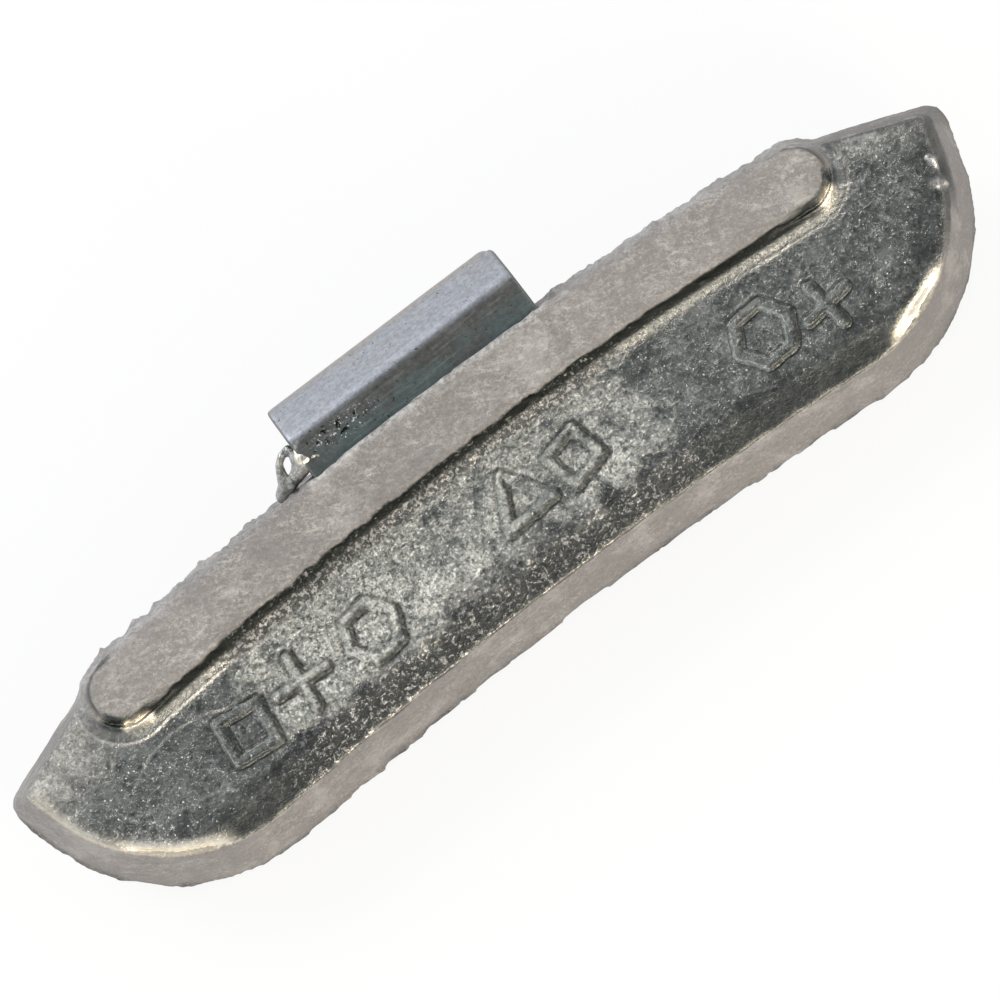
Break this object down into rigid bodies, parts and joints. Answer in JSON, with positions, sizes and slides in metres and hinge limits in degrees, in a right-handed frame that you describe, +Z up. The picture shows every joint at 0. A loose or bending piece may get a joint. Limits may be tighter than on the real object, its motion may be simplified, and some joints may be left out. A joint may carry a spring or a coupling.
{
  "type": "wheel balance weight",
  "caption": "Clip-on wheel balance weight: curved zinc casting with a raised ridge and a spring steel clip that hooks over the rim flange",
  "frame": {"origin": "middle of the footprint, on the surface that the weight lies on", "axes": "+X runs along the weight, +Y towards its clip and +Z up, out of the face that is seen on the wheel; the weight lies on its back, on the clip's lip and the lower back edge"},
  "size_m": [0.0632, 0.0194, 0.0116],
  "materials": {
    "zinc": "cast zinc, worn matt on the raised faces",
    "clip_steel": "zinc plated spring steel"
  },
  "bodies": {
    "root": {"cast_body": "zinc", "spring_clip": "clip_steel"}
  },
  "joints": []
}
